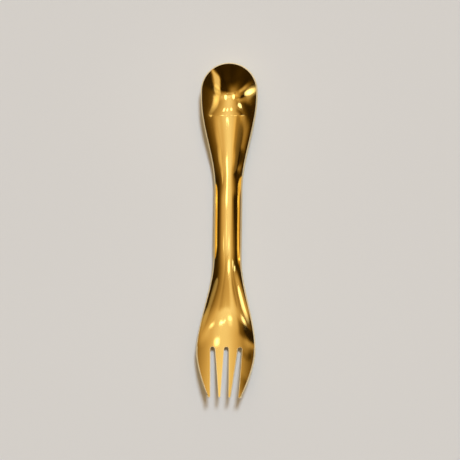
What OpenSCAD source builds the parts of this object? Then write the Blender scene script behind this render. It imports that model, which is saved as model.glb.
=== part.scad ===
// Double-ended spork: a round spoon bowl, a gutter-shaped handle and a four-tine fork,
// pressed from one sheet. Lengths in millimetres, angles in degrees.
// X runs across the spork, Y along it (spoon tip at +Y, fork tips at -Y), Z is up,
// and the underside of the bowl and of the fork heel rests on Z = 0.

/* [Overall] */
// Length from the spoon tip to the fork tips
spork_length = 170; // [158:1:186]
// Thickness of the sheet
sheet_thickness = 1; // [0.8:0.1:1.2]

/* [Spoon bowl] */
// Width of the bowl across its rim
bowl_width = 29; // [27:0.5:31]
// Depth of the bowl from its rim to its floor
bowl_depth = 7.4; // [6.8:0.1:8]
// Slope of the bowl's wall at the rim
bowl_wall_angle = 40; // [38:1:42]
// Distance of the lowest place behind the centre of the round rim
bowl_low_offset = 2.5; // [1.5:0.5:3.5]
// Radius along the floor where it climbs out of the bowl
bowl_back_radius = 27.5; // [25:0.5:30]
// Slope of the floor where it reaches the crease
bowl_back_angle = 20; // [17:1:22]
// Bend radius under the crease between bowl and neck
crease_radius = 0.6; // [0.4:0.1:1.2]
// Length of the neck that narrows from the bowl to the handle
neck_length = 46.5; // [43:0.5:49]
// Slope of the neck walls at the rim
neck_wall_angle = 40; // [38:1:42]

/* [Handle] */
// Width of the handle
handle_width = 14.5; // [13.5:0.5:15.5]
// Slope of the gutter walls at the rim
gutter_wall_angle = 56; // [52:1:60]
// Height of the handle's underside over the table
handle_lift = 0.6; // [0.3:0.1:1]
// Length over which the walls stand up at each end of the gutter
gutter_lead = 11; // [9:0.5:12]

/* [Fork] */
// Width across the widest place of the fork
fork_width = 30.3; // [28.5:0.1:32]
// Slope of the fork's dished palm at its edge
fork_wall_angle = 30; // [26:1:32]
// Length over which the handle widens to the fork
fork_neck_length = 48; // [45:0.5:50]
// Length from the widest place to the tips
fork_taper_length = 23; // [21:0.5:24]
// Width across the four tips
tip_spread = 16.6; // [16:0.1:18]
// Height of the tips' underside over the table
tip_rise = 10; // [8:0.5:12]
// Length from the fork heel, the lowest place of the palm, to the tips
heel_reach = 46; // [42:0.5:50]
// Length of the slots between the tines
slot_length = 25; // [23:0.5:26]
// Width of a slot at its round root
slot_root_width = 2.4; // [2:0.1:2.8]
// Width of a slot at the tips
slot_tip_width = 4.25; // [3.9:0.05:4.4]
// Distance between neighbouring slots at the roots
slot_root_pitch = 7.2; // [6.8:0.1:7.5]
// Distance between neighbouring slots at the tips
slot_tip_pitch = 5.25; // [5.1:0.05:5.4]

/* [Hidden] */
gold_tone = [0.86, 0.66, 0.29];

// Steps along and across the sheet
across_steps = 24;
tine_count = 4;
tine_steps = across_steps / tine_count;
neck_steps = 20;
crease_steps = 3;
bowl_back_steps = 7;
bowl_low_steps = 3;
bowl_front_steps = 16;
handle_steps = 20;
palm_steps = 28;
root_steps = 4;
tine_rows = 12;
tip_steps = 3;
// The columns stand closer together towards the steep rims
column_angle = 58;
// The last row of a rounded tip stops short of a point
tip_last_angle = 72;
// Step used to measure the slope of the die, as a share of the sheet
probe_share = 0.02;
probe = sheet_thickness * probe_share;

// Bowl: from its lowest place the front rises to the tip and the back climbs to the crease
half_length = spork_length / 2;
bowl_centre = half_length - bowl_width / 2;
bowl_back = bowl_centre - bowl_low_offset;
bowl_front = half_length - bowl_back;
crease_top = bowl_back - bowl_back_radius * sin(bowl_back_angle);
crease_end = crease_top - crease_radius * sin(bowl_back_angle);
neck_floor = (bowl_back_radius + crease_radius) * (1 - cos(bowl_back_angle));

// Handle: the gutter is a plain arc between the two necks
neck_end = bowl_back - neck_length;
gutter_from_share = 0.5;
gutter_from = neck_end - gutter_lead * gutter_from_share;
gutter_depth = handle_width / 2 * tan(gutter_wall_angle / 2);

// Fork: a shallow dish that narrows to the tips
fork_widest = fork_taper_length - half_length;
fork_neck_end = fork_widest + fork_neck_length;
gutter_to_share = 0.6;
gutter_to = fork_neck_end + gutter_lead * gutter_to_share;
heel = heel_reach - half_length;
fork_depth = fork_width / 2 * tan(fork_wall_angle / 2);
slot_apex = slot_length - half_length;
slot_root_centre = slot_apex - slot_root_width / 2;
tine_tip_width = slot_tip_pitch - slot_tip_width;
taper_bow = 1.6;

// Wall slope and depth of the trough from the crease to the fork's widest place
neck_mid_share = 0.45;
neck_run_share = 1.4;
neck_mid_depth_share = 1.22;
neck_depth_share = 0.98;
palm_neck_depth_share = 0.92;
palm_depth_share = 0.87;
palm_neck_angle_share = 0.55;
palm_angle_share = 0.28;
neck_mid = neck_end + neck_length * neck_mid_share;
neck_from = gutter_from + gutter_lead * neck_run_share;
crease_depth = bowl_depth - neck_floor;

wall_stations = [
    [fork_widest, fork_wall_angle],
    [gutter_to - 2 * gutter_lead, palm_wall(palm_angle_share)],
    [gutter_to - gutter_lead, palm_wall(palm_neck_angle_share)],
    [gutter_to, gutter_wall_angle],
    [gutter_from, gutter_wall_angle],
    [neck_from, neck_wall_angle],
    [neck_mid, neck_wall_angle],
    [crease_end, bowl_wall_angle]
];
depth_stations = [
    [fork_widest, fork_depth],
    [gutter_to - 2 * gutter_lead, gutter_depth * palm_depth_share],
    [gutter_to - gutter_lead, gutter_depth * palm_neck_depth_share],
    [gutter_to, gutter_depth],
    [gutter_from, gutter_depth],
    [neck_from, gutter_depth * neck_depth_share],
    [neck_mid, gutter_depth * neck_mid_depth_share],
    [crease_end, crease_depth]
];
floor_stations = [
    [heel, 0],
    [gutter_to, handle_lift],
    [gutter_from, handle_lift],
    [crease_end, neck_floor]
];

function palm_wall(share) = fork_wall_angle + (gutter_wall_angle - fork_wall_angle) * share;
function mix(a, b, t) = a + (b - a) * t;
function ease(t) = let(c = min(max(t, 0), 1)) c * c * (3 - 2 * c);

// Smooth curve through stations [place, value] that never swings past its stations
function chord(t, i) = (t[i + 1][1] - t[i][1]) / (t[i + 1][0] - t[i][0]);
function lean(t, i) =
    i == 0 || i == len(t) - 1 ? 0 :
    let(a = chord(t, i - 1), b = chord(t, i))
    a * b <= 0 ? 0 : 2 * a * b / (a + b);
function span_at(t, y, i = 0) = i == len(t) - 2 || y < t[i + 1][0] ? i : span_at(t, y, i + 1);
function curve(t, y) =
    let(
        i = span_at(t, y),
        h = t[i + 1][0] - t[i][0],
        u = min(max((y - t[i][0]) / h, 0), 1),
        rise = ease(u)
    )
    mix(t[i][1], t[i + 1][1], rise)
        + lean(t, i) * h * u * (1 - u) * (1 - u)
        - lean(t, i + 1) * h * u * u * (1 - u);

// Half width of the outline at the place y
function half_width(y) =
    y > bowl_centre ? sqrt(max(pow(bowl_width / 2, 2) - pow(y - bowl_centre, 2), 0)) :
    y > neck_end ? mix(handle_width, bowl_width, ease((y - neck_end) / neck_length)) / 2 :
    y > fork_widest ? mix(handle_width, fork_width, ease((fork_neck_end - y) / fork_neck_length)) / 2 :
    mix(fork_width, tip_spread, pow((fork_widest - y) / fork_taper_length, taper_bow)) / 2;

// Height of the underside along the middle
function back_rise(reach) = bowl_back_radius - sqrt(pow(bowl_back_radius, 2) - pow(reach, 2));
function crest(reach) = neck_floor - crease_radius + sqrt(pow(crease_radius, 2) - pow(reach, 2));
function floor_z(y) =
    y > bowl_back ? 0 :
    y > crease_top ? back_rise(bowl_back - y) :
    y > crease_end ? crest(y - crease_end) :
    y > heel ? curve(floor_stations, y) :
    tip_rise * pow((heel - y) / heel_reach, 2);

// Section of the trough: a conic with a given depth and slope at the rim
function wall_angle(y) = y > crease_end ? bowl_wall_angle : curve(wall_stations, y);
function trough_depth(y) = y > crease_end ? bowl_depth - floor_z(y) : curve(depth_stations, y);
function trough_half(y) = half_width(max(y, fork_widest));
function conic(reach, half, depth, angle) =
    let(
        steep = half * tan(angle),
        flare = depth / (steep - depth),
        share = reach / half
    )
    steep * flare * pow(share, 2) / (1 + sqrt(1 + (flare * flare - 1) * pow(share, 2)));

// The press die: height of the underside at any place
function front_reach(x, y) = norm([x, (y - bowl_back) / bowl_front * bowl_width / 2]);
function die(x, y) =
    y > bowl_back ? conic(front_reach(x, y), bowl_width / 2, bowl_depth, bowl_wall_angle) :
    floor_z(y) + conic(abs(x), trough_half(y), trough_depth(y), wall_angle(y));
function die_normal(x, y) =
    let(n = [die(x - probe, y) - die(x + probe, y), die(x, y - probe) - die(x, y + probe), 2 * probe])
    n / norm(n);
function under_point(p) = [p[0], p[1], die(p[0], p[1])];
function upper_point(p) = under_point(p) + sheet_thickness * die_normal(p[0], p[1]);

// Places across and along the sheet
column_shares = [for (j = [0 : across_steps])
    sin(column_angle * (2 * j / across_steps - 1)) / sin(column_angle)];
function rows(from, to, steps) = [for (i = [0 : steps]) mix(from, to, i / steps)];
function but_last(list) = [for (i = [0 : len(list) - 2]) list[i]];
function row_plan(ys) = [for (y = ys) for (share = column_shares) [half_width(y) * share, y]];

handle_rows = rows(fork_neck_end, neck_end, handle_steps);
bowl_rows = concat(
    but_last(rows(neck_end, crease_end, neck_steps)),
    but_last(rows(crease_end, crease_top, crease_steps)),
    but_last(rows(crease_top, bowl_back, bowl_back_steps)),
    but_last(rows(bowl_back, bowl_centre, bowl_low_steps)),
    [for (i = [0 : bowl_front_steps - 1])
        bowl_centre + bowl_width / 2 * sin(90 * i / bowl_front_steps)]
);

function slot_centre(y) =
    mix(slot_root_pitch, slot_tip_pitch, (slot_root_centre - y) / (slot_root_centre + half_length));
function slot_half(y) =
    y > slot_root_centre ? sqrt(max(pow(slot_root_width / 2, 2) - pow(y - slot_root_centre, 2), 0)) :
    mix(slot_root_width, slot_tip_width, (slot_root_centre - y) / (slot_root_centre + half_length)) / 2;
tip_radius = tine_tip_width / 2;
tip_rows = [for (i = [0 : tip_steps])
    tip_radius * (1 - sin(mix(tip_last_angle, 0, i / tip_steps)) / sin(tip_last_angle)) - half_length];
root_rows = [for (i = [0 : root_steps])
    slot_root_centre + slot_root_width / 2 * sin(90 * i / root_steps)];
tine_zone = concat(
    but_last(tip_rows),
    but_last(rows(tip_radius - half_length, slot_root_centre, tine_rows)),
    but_last(root_rows)
);
palm_zone = rows(slot_apex, fork_neck_end, palm_steps);
function tip_fill(y) =
    y + half_length > tip_radius ? 1 :
    sqrt(1 - pow((1 - (y + half_length) / tip_radius) * sin(tip_last_angle), 2));
function tine_side(y, k, side) =
    let(s = k + side - tine_count / 2)
    k + side == 0 ? -half_width(y) :
    k + side == tine_count ? half_width(y) :
    s * slot_centre(y) + (1 - 2 * side) * slot_half(y);
function tine_x(y, k, j) =
    let(a = tine_side(y, k, 0), b = tine_side(y, k, 1))
    (a + b) / 2 + (b - a) * (j / tine_steps - 1 / 2) * tip_fill(y);
root_share = slot_root_pitch / half_width(slot_apex);
root_shares = [-1, -root_share, 0, root_share, 1];
function palm_share(y, j) =
    let(k = min(floor(j / tine_steps), tine_count - 1))
    mix(
        column_shares[j],
        mix(root_shares[k], root_shares[k + 1], j / tine_steps - k),
        ease((fork_neck_end - y) / (fork_neck_end - slot_apex))
    );
fork_plan = concat(
    [for (y = tine_zone) for (k = [0 : tine_count - 1]) for (j = [0 : tine_steps]) [tine_x(y, k, j), y]],
    [for (y = palm_zone) for (j = [0 : across_steps]) [half_width(y) * palm_share(y, j), y]]
);

// A four-sided patch as two triangles
function patch(a, b, c, d) = [[a, b, c], [a, c, d]];
function flat_list(lists) = [for (list = lists) for (item = list) item];
function both_skins(plan) = concat([for (p = plan) under_point(p)], [for (p = plan) upper_point(p)]);

// Faces of a sheet of n rows, m columns; u is the offset to the upper skin
function sheet_faces(n, m, u) = concat(
    flat_list([for (i = [0 : n - 2]) for (j = [0 : m - 2]) let(a = i * m + j, b = a + m) concat(
        patch(a, a + 1, b + 1, b),
        patch(u + a, u + b, u + b + 1, u + a + 1)
    )]),
    flat_list([for (i = [0 : n - 2]) let(a = i * m, b = a + m, c = b - 1, d = c + m) concat(
        patch(a, b, u + b, u + a),
        patch(c, u + c, u + d, d)
    )])
);
function start_cap(m, u) = flat_list([for (j = [0 : m - 2]) patch(j, u + j, u + j + 1, j + 1)]);
function end_cap(first, m, u) =
    flat_list([for (j = [first : first + m - 2]) patch(j, j + 1, u + j + 1, u + j)]);

// The round front of the bowl closes in one point per skin
function tip_faces(first, m, u, tip) = concat(
    [for (j = [first : first + m - 2]) [j, j + 1, tip]],
    [for (j = [first : first + m - 2]) [u + j, tip + 1, u + j + 1]],
    patch(first, tip, tip + 1, u + first),
    patch(first + m - 1, u + first + m - 1, tip + 1, tip)
);

module spoon_bowl() {
    m = across_steps + 1;
    n = len(bowl_rows);
    u = n * m;
    tip = [0, half_length];
    color(gold_tone)
    polyhedron(
        points = concat(both_skins(row_plan(bowl_rows)), [under_point(tip), upper_point(tip)]),
        faces = concat(sheet_faces(n, m, u), start_cap(m, u), tip_faces(u - m, m, u, 2 * u))
    );
}

module handle() {
    m = across_steps + 1;
    n = len(handle_rows);
    u = n * m;
    color(gold_tone)
    polyhedron(
        points = both_skins(row_plan(handle_rows)),
        faces = concat(sheet_faces(n, m, u), start_cap(m, u), end_cap(u - m, m, u))
    );
}

// Tines stand apart up to the slot roots; in the palm their sides are one line
tine_columns = tine_steps + 1;
tine_zone_rows = len(tine_zone);
fork_rows = tine_zone_rows + len(palm_zone);
function fork_index(i, k, j) =
    i < tine_zone_rows ? (i * tine_count + k) * tine_columns + j :
    tine_zone_rows * tine_count * tine_columns
        + (i - tine_zone_rows) * (across_steps + 1) + k * tine_steps + j;
function fork_faces(u) = concat(
    flat_list([for (i = [0 : fork_rows - 2]) for (k = [0 : tine_count - 1]) for (j = [0 : tine_steps - 1])
        let(
            a = fork_index(i, k, j),
            b = fork_index(i + 1, k, j),
            c = fork_index(i + 1, k, j + 1),
            d = fork_index(i, k, j + 1)
        )
        concat(patch(a, d, c, b), patch(u + a, u + b, u + c, u + d))]),
    flat_list([for (i = [0 : fork_rows - 2]) for (k = [0 : tine_count - 1])
        if (k == 0 || i < tine_zone_rows)
        let(a = fork_index(i, k, 0), b = fork_index(i + 1, k, 0))
        patch(a, b, u + b, u + a)]),
    flat_list([for (i = [0 : fork_rows - 2]) for (k = [0 : tine_count - 1])
        if (k == tine_count - 1 || i < tine_zone_rows)
        let(a = fork_index(i, k, tine_steps), b = fork_index(i + 1, k, tine_steps))
        patch(a, u + a, u + b, b)]),
    flat_list([for (k = [0 : tine_count - 1]) for (j = [0 : tine_steps - 1])
        let(a = fork_index(0, k, j))
        patch(a, u + a, u + a + 1, a + 1)]),
    end_cap(fork_index(fork_rows - 1, 0, 0), across_steps + 1, u)
);

module fork_head() {
    color(gold_tone)
    polyhedron(points = both_skins(fork_plan), faces = fork_faces(len(fork_plan)));
}

spoon_bowl();
handle();
fork_head();
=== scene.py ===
# %% [markdown]
# # A polished double-ended spork
# The spork is one piece of sheet metal: a spoon bowl, a gutter-shaped handle and a fork. A maker
# cuts a flat blank, saws the slots, presses it in a die and polishes it. This lesson does the same
# in Blender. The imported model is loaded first. It is the fixed frame that every size comes from.

# %% Load the frame
import math

import bmesh
import bpy
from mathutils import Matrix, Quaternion, Vector


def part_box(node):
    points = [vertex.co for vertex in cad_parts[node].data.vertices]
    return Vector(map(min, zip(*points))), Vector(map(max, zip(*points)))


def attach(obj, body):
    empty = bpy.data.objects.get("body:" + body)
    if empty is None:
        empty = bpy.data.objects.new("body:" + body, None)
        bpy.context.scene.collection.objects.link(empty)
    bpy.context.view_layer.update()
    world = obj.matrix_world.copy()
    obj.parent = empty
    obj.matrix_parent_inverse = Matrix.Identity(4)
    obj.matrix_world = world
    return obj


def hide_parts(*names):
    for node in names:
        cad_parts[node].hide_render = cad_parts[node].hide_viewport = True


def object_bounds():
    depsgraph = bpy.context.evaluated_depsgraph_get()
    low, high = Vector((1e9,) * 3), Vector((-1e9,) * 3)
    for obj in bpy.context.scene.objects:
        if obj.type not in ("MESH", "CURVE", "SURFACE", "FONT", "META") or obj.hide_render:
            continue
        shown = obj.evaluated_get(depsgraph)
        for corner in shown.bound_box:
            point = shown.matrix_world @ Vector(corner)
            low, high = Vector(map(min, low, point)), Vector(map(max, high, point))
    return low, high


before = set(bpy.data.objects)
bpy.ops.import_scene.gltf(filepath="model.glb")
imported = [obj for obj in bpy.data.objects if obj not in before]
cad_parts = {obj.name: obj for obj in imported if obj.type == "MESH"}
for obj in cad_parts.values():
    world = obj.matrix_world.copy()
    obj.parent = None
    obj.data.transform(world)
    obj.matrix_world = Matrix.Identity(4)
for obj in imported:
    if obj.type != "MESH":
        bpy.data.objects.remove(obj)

MM = 0.001
cad_low, cad_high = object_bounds()
_, bowl_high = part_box("spoon_bowl")
handle_low, handle_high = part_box("handle")
_, fork_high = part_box("fork_head")
print("frame:", [round(side / MM, 2) for side in cad_high - cad_low], "mm")

# %% [markdown]
# ## Sizes of the blank
# Widths and lengths are read from the frame's boxes, so the sheet here fits the solids. The few
# sizes that a box can't tell, such as the slopes of the walls, are written out, in millimetres
# and degrees.

# %% Sizes of the blank
half_length = cad_high.y
bowl_half = bowl_high.x
handle_half = handle_high.x
fork_half = fork_high.x
neck_end = handle_high.y
fork_neck_end = handle_low.y

sheet = 1.0 * MM
bowl_depth = 7.4 * MM
bowl_wall = math.radians(40)
bowl_low_shift = 2.5 * MM
bowl_back_radius = 27.5 * MM
bowl_back_slope = math.radians(20)
crease_radius = 0.6 * MM
neck_wall = math.radians(40)
gutter_wall = math.radians(56)
handle_lift = 0.6 * MM
gutter_lead = 11 * MM
fork_wall = math.radians(30)
fork_taper = 23 * MM
fork_taper_power = 1.6
tip_half = 8.3 * MM
tip_rise = 10 * MM
heel_reach = 46 * MM
slot_length = 25 * MM
slot_root_half = 1.2 * MM
slot_tip_half = 2.125 * MM
slot_root_pitch = 7.2 * MM
slot_tip_pitch = 5.25 * MM

# Places along the spork that follow from those sizes
bowl_centre = half_length - bowl_half
bowl_back = bowl_centre - bowl_low_shift
crease_top = bowl_back - bowl_back_radius * math.sin(bowl_back_slope)
crease_end = crease_top - crease_radius * math.sin(bowl_back_slope)
neck_floor = (bowl_back_radius + crease_radius) * (1 - math.cos(bowl_back_slope))
neck_length = bowl_back - neck_end
gutter_from = neck_end - 0.5 * gutter_lead
neck_from = neck_end + 0.9 * gutter_lead
gutter_to = fork_neck_end + 0.6 * gutter_lead
fork_widest = fork_taper - half_length
fork_neck_length = fork_neck_end - fork_widest
heel = heel_reach - half_length
slot_apex = slot_length - half_length
slot_root_centre = slot_apex - slot_root_half
tine_tip_half = slot_tip_pitch / 2 - slot_tip_half
print("crease at", round(crease_end / MM, 2), "mm, slot roots at", round(slot_apex / MM, 2), "mm")

# %% [markdown]
# ## Smooth curves
# Width, depth and slope change along the spork without a kink. A boat builder would lay a bent strip
# of wood through a few points. Here a cubic curve does that. Its slopes are held back, so that it
# never swings past a point, as a plain spline can.

# %% Smooth curves
def mix(a, b, t):
    return a + (b - a) * t


def ease(t):
    t = min(max(t, 0), 1)
    return t * t * (3 - 2 * t)


def chord(stations, i):
    (y0, v0), (y1, v1) = stations[i], stations[i + 1]
    return (v1 - v0) / (y1 - y0)


def lean(stations, i):
    """Slope of the curve at a station: never so steep that it swings past its neighbours."""
    if i == 0 or i == len(stations) - 1:
        return 0
    before, after = chord(stations, i - 1), chord(stations, i)
    return 2 * before * after / (before + after) if before * after > 0 else 0


def curve(stations, y):
    """Smooth value at y through (place, value) stations."""
    i = max([k for k in range(len(stations) - 1) if y >= stations[k][0]], default=0)
    (y0, v0), (y1, v1) = stations[i], stations[i + 1]
    h = y1 - y0
    u = min(max((y - y0) / h, 0), 1)
    bend = lean(stations, i) * (1 - u) - lean(stations, i + 1) * u
    return mix(v0, v1, ease(u)) + bend * h * u * (1 - u)


print("curve halfway between two stations:", curve([(0, 0), (1, 1)], 0.5))

# %% [markdown]
# ## Outline and stations
# The outline is a round bowl front, an easy sweep into the straight handle, another sweep out to
# the fork, and the taper of the fork. Along it, a few stations hold the slope of the rim, the depth
# of the trough and the height of its floor.

# %% Outline and stations
def half_width(y):
    if y > bowl_centre:
        return math.sqrt(max(bowl_half**2 - (y - bowl_centre) ** 2, 0))
    if y > neck_end:
        return mix(handle_half, bowl_half, ease((y - neck_end) / neck_length))
    if y > fork_widest:
        return mix(handle_half, fork_half, ease((fork_neck_end - y) / fork_neck_length))
    return mix(fork_half, tip_half, ((fork_widest - y) / fork_taper) ** fork_taper_power)


gutter_depth = handle_half * math.tan(gutter_wall / 2)
fork_depth = fork_half * math.tan(fork_wall / 2)
crease_depth = bowl_depth - neck_floor

wall_stations = [
    (fork_widest, fork_wall),
    (gutter_to - 2 * gutter_lead, mix(fork_wall, gutter_wall, 0.28)),
    (gutter_to - gutter_lead, mix(fork_wall, gutter_wall, 0.55)),
    (gutter_to, gutter_wall),
    (gutter_from, gutter_wall),
    (neck_from, neck_wall),
    (mix(neck_end, bowl_back, 0.45), neck_wall),
    (crease_end, bowl_wall),
]
depth_stations = [
    (fork_widest, fork_depth),
    (gutter_to - 2 * gutter_lead, gutter_depth * 0.87),
    (gutter_to - gutter_lead, gutter_depth * 0.92),
    (gutter_to, gutter_depth),
    (gutter_from, gutter_depth),
    (neck_from, gutter_depth * 0.98),
    (mix(neck_end, bowl_back, 0.45), gutter_depth * 1.22),
    (crease_end, crease_depth),
]
floor_stations = [
    (heel, 0),
    (gutter_to, handle_lift),
    (gutter_from, handle_lift),
    (crease_end, neck_floor),
]
print("gutter depth", round(gutter_depth / MM, 2), "fork depth", round(fork_depth / MM, 2), "mm")

# %% [markdown]
# ## The press die
# A die is a height for every place on the blank. The section across the spork is a trough with a
# round floor and steep rims, written as one conic curve with a given depth and rim slope. Stretched
# forward from the bowl's lowest place, the same section makes the bowl's front. Writing the die as
# plain functions lets one shape serve the whole sheet.

# %% The press die
def floor_height(y):
    if y > bowl_back:
        return 0
    if y > crease_top:
        return bowl_back_radius - math.sqrt(bowl_back_radius**2 - (bowl_back - y) ** 2)
    if y > crease_end:
        return neck_floor - crease_radius + math.sqrt(crease_radius**2 - (y - crease_end) ** 2)
    if y > heel:
        return curve(floor_stations, y)
    return tip_rise * ((heel - y) / heel_reach) ** 2


def section(reach, width, depth, wall):
    """Height over the floor of a conic trough of a given depth and rim slope."""
    steep = math.tan(wall)
    flare = depth / (steep * width - depth)
    bend = steep * flare / width
    return bend * reach**2 / (1 + math.sqrt(1 + (flare**2 - 1) * (reach / width) ** 2))


def die(x, y):
    """Height of the underside of the sheet at any place."""
    if y > bowl_back:
        ahead = (y - bowl_back) * bowl_half / (half_length - bowl_back)
        return section(math.hypot(x, ahead), bowl_half, bowl_depth, bowl_wall)
    width = half_width(max(y, fork_widest))
    if y > crease_end:
        depth, wall = bowl_depth - floor_height(y), bowl_wall
    else:
        depth, wall = curve(depth_stations, y), curve(wall_stations, y)
    return floor_height(y) + section(abs(x), width, depth, wall)


print("die at the bowl's tip:", round(die(0, half_length) / MM, 2), "mm high")

# %% [markdown]
# ## The flat blank
# Both halves of the spork are alike, so only the right half is drawn, and mirrored at the end. One
# grid makes it. Its columns run from the middle line out to the rim, and its rows run from the fork
# tips to the bowl's centre and then fan round the bowl's front, so every edge of the rim lies on a
# clean column. The grid is first kept as plain row and column numbers, which makes it easy to find
# the line of the slot and split it there, the way a saw cuts the blank. The strips of faces along
# the edges of the tines are marked for a second material: a paler gold that stands partly for the
# buffed cut metal and partly for a painted highlight along the edge.

# %% Rows and columns of the blank
def between(start, end, steps):
    return [mix(start, end, i / steps) for i in range(steps)]


# Width of the pale edge band: the cut metal's colour with a painted rim highlight.
edge_band = 0.26 * MM
tine_columns = 18
columns = 2 * tine_columns
fan_rows = 40
straight_rows = (
    [-half_length]
    + between(edge_band - half_length, slot_root_centre, 33)
    + [slot_root_centre + slot_root_half * math.sin(math.pi / 2 * i / 8) for i in range(8)]
    + [slot_apex]
    + between(slot_apex + edge_band, fork_neck_end, 59)
    + between(fork_neck_end, neck_end, 30)
    + between(neck_end, crease_end, 46)
    + between(crease_end, crease_top, 6)
    + between(crease_top, bowl_back, 14)
    + between(bowl_back, bowl_centre, 5)
)
apex_row = straight_rows.index(slot_apex)
row_count = len(straight_rows) + fan_rows

blank = bmesh.new()
bmesh.ops.create_grid(blank, x_segments=columns, y_segments=row_count, size=0.5)
for vert in blank.verts:
    vert.co.x = round((vert.co.x + 0.5) * columns)
    vert.co.y = round((vert.co.y + 0.5) * row_count)
saw_line = [
    edge
    for edge in blank.edges
    if all(v.co.x == tine_columns and v.co.y <= apex_row for v in edge.verts)
]
bmesh.ops.split_edges(blank, edges=saw_line)
# Edge strips and the tip row get the pale material: cut metal with a painted rim highlight.
for face in blank.faces:
    column, row = (math.floor(value) for value in face.calc_center_median().xy)
    beside_edge = column in (0, tine_columns - 1, tine_columns, columns - 1)
    face.material_index = int(row == 0 or row <= apex_row and beside_edge)
print("blank:", len(blank.verts), "points, saw cut of", len(saw_line), "edges")

# %% [markdown]
# ## Sharing out the columns
# Each column of the grid gets its share of the width. Columns crowd towards the rim, where the
# walls are steep, and the last one keeps the width of the pale edge band, which carries the cut
# metal's colour and a painted highlight. On a tine both edges have a band. The slots taper: they
# are narrow at their round roots and widest at the tips.

# %% Sharing out the columns
crowding = math.radians(62)


def column_share(column, half):
    """Share of the half width, with the pale edge band of cut metal and painted highlight as the
    last column.
    """
    if column == columns:
        return 1
    crowded = math.sin(crowding * column / (columns - 1)) / math.sin(crowding)
    return (1 - edge_band / half) * crowded


def tine_share(column, width, end_weight=0):
    """Share of a tine's width, with a pale edge band of cut metal and painted highlight along both
    edges that thins out at the tip.
    """
    if column in (0, tine_columns):
        return column / tine_columns
    band = mix(edge_band / width, 1 / tine_columns, end_weight)
    return mix(band, 1 - band, (column - 1) / (tine_columns - 2))


def slot_progress(y):
    return (slot_root_centre - y) / (slot_root_centre + half_length)


def slot_centre(y):
    return mix(slot_root_pitch, slot_tip_pitch, slot_progress(y))


def slot_half(y):
    if y > slot_root_centre:
        return math.sqrt(max(slot_root_half**2 - (y - slot_root_centre) ** 2, 0))
    return mix(slot_root_half, slot_tip_half, slot_progress(y))


print("slot width at the tips:", round(2 * slot_half(-half_length) / MM, 2), "mm")

# %% [markdown]
# ## Cutting the outline
# Each point now moves to its real place in the plan. In the fork's palm the columns gather towards
# the slots. Below the slot roots the two sides of a saw cut are spread apart, and the ends of the
# tines are rounded.

# %% Cutting the outline
tip_rounding_power = 6


def palm_place(column, y):
    if column < tine_columns:
        root = mix(0, slot_root_pitch, tine_share(column, slot_root_pitch))
    else:
        outer_width = half_width(slot_apex) - slot_root_pitch
        root = slot_root_pitch + outer_width * tine_share(column - tine_columns, outer_width)
    root_share = root / half_width(slot_apex)
    gather = ease((fork_neck_end - y) / (fork_neck_end - slot_apex))
    return half_width(y) * mix(column_share(column, half_width(y)), root_share, gather)


def tine_place(column, y, outer):
    """Place on a tine: the inner one lies between two slots, the outer one reaches the rim."""
    if outer:
        near, far = slot_centre(y) + slot_half(y), half_width(y)
    else:
        near, far = slot_half(y), slot_centre(y) - slot_half(y)
    end_weight = max(slot_progress(y), 0) ** tip_rounding_power
    across = tine_share(column - outer * tine_columns, far - near, end_weight)
    side = 2 * across - 1
    end_round = tine_tip_half * (1 - math.sqrt(max(1 - side**2, 0)))
    return mix(near, far, across), y + end_round * end_weight


def plan_place(column, row, outer):
    if row >= len(straight_rows):
        turn = math.pi / 2 * (row - len(straight_rows)) / fan_rows
        reach = bowl_half * column_share(column, bowl_half)
        return reach * math.cos(turn), bowl_centre + reach * math.sin(turn)
    y = straight_rows[row]
    if row < apex_row:
        return tine_place(column, y, outer)
    return palm_place(column, y), y


places = []
for vert in blank.verts:
    column, row = round(vert.co.x), round(vert.co.y)
    middle = sum(face.calc_center_median().x for face in vert.link_faces) / len(vert.link_faces)
    places.append(plan_place(column, row, middle > tine_columns))
for vert, (x, y) in zip(blank.verts, places):
    vert.co = (x, y, 0)
print("outline half widths:", [round(half_width(y * MM) / MM, 2) for y in (-62, -30, 0, 40, 67)])

# %% [markdown]
# ## Pressing, mirroring, thickness
# Pressing sets each point to the die's height. The half is mirrored on the middle line and welded
# there, except along the middle slot, whose sides don't touch. The Solidify modifier gives the
# sheet its thickness on the upper side, because the die is the underside. The Bevel modifier
# rounds the cut edge, as tumbling and buffing do on real cutlery.

# %% Pressing, mirroring, thickness
weld = 0.001 * MM
for vert in blank.verts:
    vert.co.z = die(vert.co.x, vert.co.y)
right_half = blank.verts[:] + blank.edges[:] + blank.faces[:]
bmesh.ops.mirror(blank, geom=right_half, axis="X", merge_dist=weld)
bmesh.ops.remove_doubles(blank, verts=blank.verts[:], dist=weld)
bmesh.ops.recalc_face_normals(blank, faces=blank.faces[:])
if sum(face.normal.z for face in blank.faces) < 0:
    bmesh.ops.reverse_faces(blank, faces=blank.faces[:])
for face in blank.faces:
    face.smooth = True

mesh = bpy.data.meshes.new("spork_sheet")
blank.to_mesh(mesh)
blank.free()
spork = bpy.data.objects.new("spork_sheet", mesh)
bpy.context.scene.collection.objects.link(spork)

wall = spork.modifiers.new("sheet thickness", "SOLIDIFY")
wall.thickness = sheet
wall.offset = 1
wall.use_quality_normals = True
# The sheet's rim takes the pale edge material: cut metal with a painted highlight.
wall.material_offset_rim = 1
edge = spork.modifiers.new("rounded edge with painted highlight", "BEVEL")
edge.width = 0.25 * MM
edge.segments = 4
edge.limit_method = "ANGLE"
edge.angle_limit = math.radians(50)
edge.harden_normals = True
# The bevel faces take the pale edge material too, a painted highlight along the rounded edge.
edge.material = 1
print("pressed sheet:", len(mesh.polygons), "faces before thickness")

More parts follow.
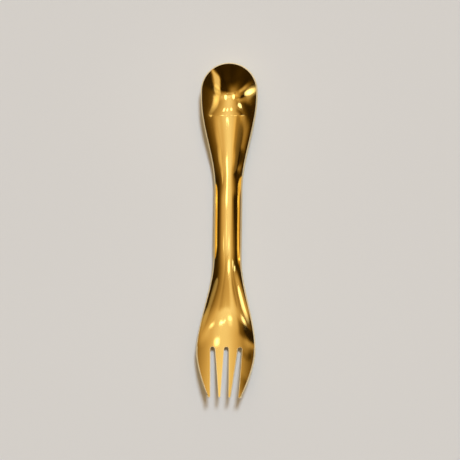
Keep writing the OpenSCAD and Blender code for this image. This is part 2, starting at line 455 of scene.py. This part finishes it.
# %% [markdown]
# ## Gold-tone polish
# The whole spork is mirror polished, so its look is mostly what it reflects. A metal shader with a
# low roughness does that. Real polish isn't perfect: buffing leaves hair-fine lines along the
# sheet, and the tone drifts a little from place to place. The cut edges are paler and less of a
# mirror, so they scatter some light. Their paler colour is partly the bare cut metal and partly a
# painted highlight that draws a fine bright line round the spork.

# %% Gold-tone polish
def new_material(name):
    material = bpy.data.materials.new(name)
    material.use_nodes = True
    nodes, links = material.node_tree.nodes, material.node_tree.links
    return material, nodes, links, nodes["Principled BSDF"]


def gold_tone(name, light, deep, rough_low, rough_high, metal=1.0):
    material, nodes, links, shader = new_material(name)
    shader.inputs["Metallic"].default_value = metal
    place = nodes.new("ShaderNodeTexCoord")

    drift = nodes.new("ShaderNodeTexNoise")
    drift.inputs["Scale"].default_value = 45
    drift.inputs["Detail"].default_value = 3
    links.new(place.outputs["Object"], drift.inputs["Vector"])
    tone = nodes.new("ShaderNodeValToRGB")
    tone.color_ramp.elements[0].position = 0.3
    tone.color_ramp.elements[0].color = (*deep, 1)
    tone.color_ramp.elements[1].position = 0.7
    tone.color_ramp.elements[1].color = (*light, 1)
    links.new(drift.outputs["Fac"], tone.inputs["Fac"])
    links.new(tone.outputs["Color"], shader.inputs["Base Color"])

    stretch = nodes.new("ShaderNodeMapping")
    stretch.inputs["Scale"].default_value = (9000, 40, 2600)
    links.new(place.outputs["Object"], stretch.inputs["Vector"])
    lines = nodes.new("ShaderNodeTexNoise")
    lines.inputs["Scale"].default_value = 1
    lines.inputs["Detail"].default_value = 2
    links.new(stretch.outputs["Vector"], lines.inputs["Vector"])
    rough = nodes.new("ShaderNodeMapRange")
    rough.inputs["From Min"].default_value = 0.35
    rough.inputs["From Max"].default_value = 0.7
    rough.inputs["To Min"].default_value = rough_low
    rough.inputs["To Max"].default_value = rough_high
    links.new(lines.outputs["Fac"], rough.inputs["Value"])
    links.new(rough.outputs["Result"], shader.inputs["Roughness"])

    bump = nodes.new("ShaderNodeBump")
    bump.inputs["Strength"].default_value = 0.03
    bump.inputs["Distance"].default_value = 0.00002
    links.new(lines.outputs["Fac"], bump.inputs["Height"])
    links.new(bump.outputs["Normal"], shader.inputs["Normal"])
    return material


polish_light, polish_deep = (0.92, 0.73, 0.28), (0.88, 0.67, 0.24)
# The paler edge tone is partly bare cut metal and partly a painted highlight along the rim.
cut_edge_and_highlight_light, cut_edge_and_highlight_deep = (0.97, 0.82, 0.50), (0.93, 0.77, 0.45)
polish = gold_tone("gold_tone_polish", polish_light, polish_deep, 0.05, 0.1)
# Cut-edge material: a paler, half-matt gold for the cut metal, with a painted rim highlight in it.
cut_edge_and_painted_highlight = gold_tone("gold_tone_cut_edge_and_painted_highlight", cut_edge_and_highlight_light, cut_edge_and_highlight_deep, 0.3, 0.45, metal=0.55)
for finish in (polish, cut_edge_and_painted_highlight):
    mesh.materials.append(finish)
print("finishes:", [finish.name for finish in mesh.materials])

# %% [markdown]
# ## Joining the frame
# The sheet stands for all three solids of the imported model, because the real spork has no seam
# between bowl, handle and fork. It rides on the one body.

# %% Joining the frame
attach(spork, "root")
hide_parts("spoon_bowl", "handle", "fork_head")
print("spork rides on the root body")

# %% [markdown]
# ## Table
# A pale, slightly matt table top carries the spork's soft shadow and shows in its rim.

# %% Table
table_size = 12.0
table_mesh = bpy.data.meshes.new("table")
table_sheet = bmesh.new()
bmesh.ops.create_grid(table_sheet, x_segments=1, y_segments=1, size=table_size / 2)
table_sheet.to_mesh(table_mesh)
table_sheet.free()
table = bpy.data.objects.new("table", table_mesh)
bpy.context.scene.collection.objects.link(table)
table_finish, _, _, table_shader = new_material("pale_table")
table_shader.inputs["Base Color"].default_value = (0.70, 0.71, 0.72, 1)
table_shader.inputs["Roughness"].default_value = 0.7
table_mesh.materials.append(table_finish)
print("table:", table_size, "m wide")

# %% [markdown]
# ## Studio light
# A mirror needs something to mirror, and here that is the whole look. The studio is a dim brown
# room with soft panels of light: a wide one overhead, a low one beyond the spoon, others at the
# sides. Area lamps could do it, but their hard edges show in polished metal. So the panels are
# written into the world by their angles from straight up, with soft rims. A ripple bends their
# edges a little, as uneven polish does.

# %% Light by direction
world = bpy.data.worlds.new("studio")
world.use_nodes = True
bpy.context.scene.world = world
sky, wires = world.node_tree.nodes, world.node_tree.links


def calculate(operation, *sources):
    """A Math node on sockets or numbers."""
    node = sky.new("ShaderNodeMath")
    node.operation = operation
    for socket, source in zip(node.inputs, sources):
        if isinstance(source, (int, float)):
            socket.default_value = source
        else:
            wires.new(source, socket)
    return node.outputs["Value"]


look = sky.new("ShaderNodeTexCoord").outputs["Generated"]
parts = sky.new("ShaderNodeSeparateXYZ")
wires.new(look, parts.inputs["Vector"])
off_top = calculate("ARCCOSINE", parts.outputs["Z"])
degrees = calculate("DEGREES", calculate("DIVIDE", off_top, calculate("SINE", off_top)))
spread = sky.new("ShaderNodeVectorMath")
spread.operation = "SCALE"
wires.new(look, spread.inputs["Vector"])
wires.new(degrees, spread.inputs["Scale"])
ripple_degrees = 6
ripple = sky.new("ShaderNodeTexNoise")
ripple.inputs["Scale"].default_value = 4
ripple.inputs["Detail"].default_value = 3
wires.new(look, ripple.inputs["Vector"])
swing = sky.new("ShaderNodeVectorMath")
swing.operation = "MULTIPLY_ADD"
wires.new(ripple.outputs["Color"], swing.inputs[0])
swing.inputs[1].default_value = (ripple_degrees, ripple_degrees, 0)
wires.new(spread.outputs["Vector"], swing.inputs[2])
centred = sky.new("ShaderNodeVectorMath")
centred.operation = "SUBTRACT"
wires.new(swing.outputs["Vector"], centred.inputs[0])
centred.inputs[1].default_value = (ripple_degrees / 2, ripple_degrees / 2, 0)
angles = centred.outputs["Vector"]
print("directions ripple by up to", ripple_degrees / 2, "degrees")

# %% [markdown]
# A panel and a lamp differ only in how they fade: the panel along its sides, the lamp from its
# middle. The first two numbers of either are its place, in degrees to the right and towards the
# spoon, and the next two are its width and height.

# %% Soft shapes of light
def fade(reach, core):
    """One inside the core, falling softly to zero at a reach of one."""
    node = sky.new("ShaderNodeMapRange")
    node.interpolation_type = "SMOOTHSTEP"
    wires.new(reach, node.inputs["Value"])
    for name, value in zip(("From Min", "From Max", "To Min", "To Max"), (core, 1, 1, 0)):
        node.inputs[name].default_value = value
    return node.outputs["Result"]


def local(right, up, width, height, turn):
    """Coordinates in which the light's rim lies at one."""
    node = sky.new("ShaderNodeMapping")
    node.vector_type = "TEXTURE"
    node.inputs["Location"].default_value = (right, up, 0)
    node.inputs["Rotation"].default_value = (0, 0, math.radians(turn))
    node.inputs["Scale"].default_value = (width / 2, height / 2, 1e6)
    wires.new(angles, node.inputs["Vector"])
    return node.outputs["Vector"]


def panel(right, up, width, height, radiance, core_across=0.5, core_along=0.5, turn=0):
    """A soft-edged rectangle of light. A negative radiance is a dark card held before the light."""
    sides = sky.new("ShaderNodeSeparateXYZ")
    wires.new(local(right, up, width, height, turn), sides.inputs["Vector"])
    across = fade(calculate("ABSOLUTE", sides.outputs["X"]), core_across)
    along = fade(calculate("ABSOLUTE", sides.outputs["Y"]), core_along)
    return calculate("MULTIPLY", calculate("MULTIPLY", across, along), radiance)


def lamp(right, up, width, height, radiance):
    """A soft round or oval light."""
    reach = sky.new("ShaderNodeVectorMath")
    reach.operation = "LENGTH"
    wires.new(local(right, up, width, height, turn=0), reach.inputs[0])
    return calculate("MULTIPLY", fade(reach.outputs["Value"], core=0.1), radiance)


print("shapes of light: panel and lamp")

# %% [markdown]
# The panels, five dark cards and one small lamp add up to one level. The ramp colours it: dim light
# is brown and strong light is nearly white, as under warm lamps in a dark room.

# %% Panels and their colour
panels = [
    panel(2, 26, 152, 90, 1.0, 0.0, 0.60),
    panel(-6, 76, 130, 36, 0.75, 0.0, 0.2),
    panel(42, 6, 34, 18, 0.25, 0.2, 0.1),
    panel(44, -33.5, 20, 39, 0.9, 0.4, 0.6, turn=-17),
    panel(-60, -15, 36, 18, 0.6, 0.2, 0.1, turn=18),
    panel(-60, 10, 46, 12, 0.35, 0.4, 0.1),
    panel(-48, 4.5, 42, 12, -0.37, 0.6, 0.4),
    panel(-22, -16, 76, 54, 0.4, 0.0, 0.0),
    panel(-47, 18.5, 24, 5, -0.16, 0.5, 0.3),
    panel(-42, 32, 26, 10, -0.2, 0.5, 0.3),
    panel(2, -6, 44, 8, -0.33, 0.5, 0.3),
    panel(-30, -9.5, 14, 8, -0.35, 0.4, 0.3),
    lamp(3.5, 4, 16, 1.5, 2.4),
]
haze_level, darkest, ramp_top = 0.06, 0.02, 1.6
haze = sky.new("ShaderNodeTexNoise")
haze.inputs["Scale"].default_value = 2.5
haze.inputs["Detail"].default_value = 3
wires.new(look, haze.inputs["Vector"])
level = calculate("MULTIPLY", haze.outputs["Fac"], haze_level)
for light in panels:
    level = calculate("ADD", level, light)
level = calculate("MAXIMUM", level, darkest)

tint = sky.new("ShaderNodeValToRGB")
tint_stops = [
    (0.03, (1.0, 0.50, 0.06)),
    (0.22, (1.0, 0.60, 0.20)),
    (0.47, (1.0, 0.68, 0.34)),
    (0.65, (1.0, 0.80, 0.56)),
    (1.00, (1.0, 1.00, 0.90)),
]
while len(tint.color_ramp.elements) < len(tint_stops):
    tint.color_ramp.elements.new(0.5)
for stop, (place, colour) in zip(tint.color_ramp.elements, tint_stops):
    stop.position = place
    stop.color = (*colour, 1)
wires.new(calculate("DIVIDE", level, ramp_top), tint.inputs["Fac"])
wires.new(tint.outputs["Color"], sky["Background"].inputs["Color"])
wires.new(level, sky["Background"].inputs["Strength"])
print("studio:", len(panels), "soft panels")

# %% [markdown]
# ## Lamps with grids
# Sparks make polished metal lively, but a far lamp shows in the bowl, the neck and the fork at
# once. A photographer puts a grid on a lamp, so that only one place of the object sees it. The
# Spread of an area lamp does the same. Each lamp is written as the place on the sheet that it is
# aimed at, then its angles and size like a panel's. The energy is worked out from the brightness
# that it should show in the mirror, because a narrow grid would otherwise gather the light.

# %% Lamps with grids
white = (1.0, 0.95, 0.82)
amber = (1.0, 0.8, 0.5)
orange = (1.0, 0.62, 0.22)


def aimed_lamp(
    name, spot, right, up, width, height, radiance, colour=white, distance=600, beam=7
):
    """An oval lamp with a grid of a few degrees, aimed at a place given in millimetres."""
    off = math.radians(math.hypot(right, up))
    flat = Vector((right, up, 0)).normalized()
    away = flat * math.sin(off) + Vector((0, 0, math.cos(off)))
    half_beam = math.radians(beam)
    data = bpy.data.lights.new(name, "AREA")
    data.shape = "ELLIPSE"
    data.size = 2 * distance * MM * math.tan(math.radians(width / 2))
    data.size_y = 2 * distance * MM * math.tan(math.radians(height / 2))
    data.spread = 2 * half_beam
    open_share = 1 - half_beam / math.tan(half_beam)
    data.energy = radiance * math.pi**2 / 4 * data.size * data.size_y * open_share
    data.color = colour
    oval = bpy.data.objects.new(name, data)
    oval.location = (Vector(spot) + away * distance) * MM
    oval.rotation_mode = "QUATERNION"
    oval.rotation_quaternion = Vector((0, 0, -1)).rotation_difference(-away)
    oval.visible_camera = False
    bpy.context.scene.collection.objects.link(oval)
    return oval


print("lamp colours:", white, amber, orange)

# %% [markdown]
# The bowl has the most of them: two sparks at its lowest place, three on its back, one beside the
# right rim, a broad warm glow with a white core above that and a strip of shine on the left. A lamp
# close to the sheet is seen at a very different angle from the next zone, so the lamps of the bowl
# that must not show in the neck stand close.

# %% Lamps of the bowl
bowl_lamps = [
    aimed_lamp("bowl spark left", (-2, 68, 1), 19, 4, 11, 11, 2.2, distance=45, beam=30),
    aimed_lamp("bowl spark right", (2, 68, 1), -24, 3, 11, 11, 2.2, distance=45, beam=30),
    aimed_lamp("bowl back spark left", (-3, 61, 2), 20, 31, 8, 7, 2.2),
    aimed_lamp("bowl back spark middle", (-1, 61, 2), 6, 33, 7, 7, 2.2),
    aimed_lamp("bowl back spark right", (1, 61, 2), -12, 32, 9, 7, 2.2),
    aimed_lamp("bowl rim spark", (6, 63, 3), -50, 20, 12, 5, 2.2, distance=135, beam=30),
    aimed_lamp("bowl right glow", (11, 70, 6), -75, -2, 28, 18, 1.5, amber, distance=60, beam=10),
    aimed_lamp("bowl right core", (11, 70, 6), -74, -2, 14, 7, 2.6, distance=60, beam=10),
    aimed_lamp("bowl right fan", (5, 69, 3), -43, 4, 26, 9, 0.35, orange, distance=60, beam=30),
    aimed_lamp("bowl left shine", (-8, 66, 4), 54, 11, 10, 18, 1.4, amber, distance=40, beam=12),
    aimed_lamp("bowl left strip", (-9, 72, 5), 50, -11, 15, 30, 1.0, amber, distance=120, beam=17),
]
print("bowl lamps:", len(bowl_lamps))

# %% [markdown]
# The neck has a white line along its floor and a warm fill on its right wall. The fork's own neck
# has two sparks, a streak on the right and a fill on the left, and its palm has a row of four small
# sparks and one strong glow over the first slot.

# %% Lamps of the neck and the fork
neck_lamps = [
    aimed_lamp("neck line", (0, 26, 2), 11, 0, 18, 2.8, 2.6, distance=300, beam=10),
    aimed_lamp("neck fill", (6, 48, 5), -42, 3.5, 44, 20, 0.26, orange, distance=150, beam=28),
]
fork_lamps = [
    aimed_lamp("fork neck spark middle", (1, -18, 2), -13, -5, 24, 4, 2.2, distance=150, beam=12),
    aimed_lamp("fork neck spark right", (4, -19, 3), -57, -8, 12, 3, 2.0, distance=150, beam=8),
    aimed_lamp("fork neck streak", (8, -34, 4), -55, -14.5, 16, 6, 2.0, distance=120, beam=10),
    aimed_lamp("fork neck fill", (-8, -39, 3), 52, -10, 18, 10, 0.45, amber, distance=100, beam=14),
    aimed_lamp("fork spark far left", (-7, -49, 3), 29, 3.2, 22, 1.8, 1.7),
    aimed_lamp("fork spark left", (-2, -47, 1), 9, 4.5, 9, 1.8, 1.7),
    aimed_lamp("fork spark right", (2, -45, 1), -12, 2.5, 20, 2, 1.7),
    aimed_lamp("fork spark far right", (9, -46, 3), -46, -2, 18, 3, 2.0),
    aimed_lamp("fork glow", (-4, -57, 3), 14, 14, 22, 3.5, 2.2),
]
print("neck lamps:", len(neck_lamps), "fork lamps:", len(fork_lamps))

# %% [markdown]
# ## Sun
# The table and the shadow get their light from a sun that mirrors don't see. It stands so that the
# shadow falls towards the left and the fork, as in the photograph.

# %% Sun
sun_data = bpy.data.lights.new("sun", "SUN")
sun_data.energy = 2.5
sun_data.angle = math.radians(12)
sun_data.color = (0.76, 0.88, 1.0)
sun = bpy.data.objects.new("sun", sun_data)
sun.visible_glossy = False
sun.rotation_euler = (math.radians(-33), math.radians(13), 0)
bpy.context.scene.collection.objects.link(sun)
bpy.context.scene.view_settings.view_transform = "Standard"
print("sun energy:", sun_data.energy)

# %% [markdown]
# ## Camera
# The photograph looks straight down, a few degrees from the right, with the spork upright in the
# picture and leaning about one degree.

# %% Camera
view_width = 235 * MM
camera_distance = 0.62
camera_tilt = math.radians(5)
camera_roll = math.radians(0.8)
camera_target = Vector((1.1 * MM, 0.0, 4 * MM))

camera_data = bpy.data.cameras.new("camera")
camera_data.sensor_width = 36
camera_data.lens = camera_data.sensor_width * camera_distance / view_width
camera = bpy.data.objects.new("camera", camera_data)
bpy.context.scene.collection.objects.link(camera)
lift = Vector((math.sin(camera_tilt), 0, math.cos(camera_tilt)))
camera.location = camera_target + lift * camera_distance
camera.rotation_mode = "QUATERNION"
upright = Quaternion((0, 1, 0), camera_tilt)
camera.rotation_quaternion = upright @ Quaternion((0, 0, 1), camera_roll)
bpy.context.scene.camera = camera
print("camera at", [round(value, 3) for value in camera.location])
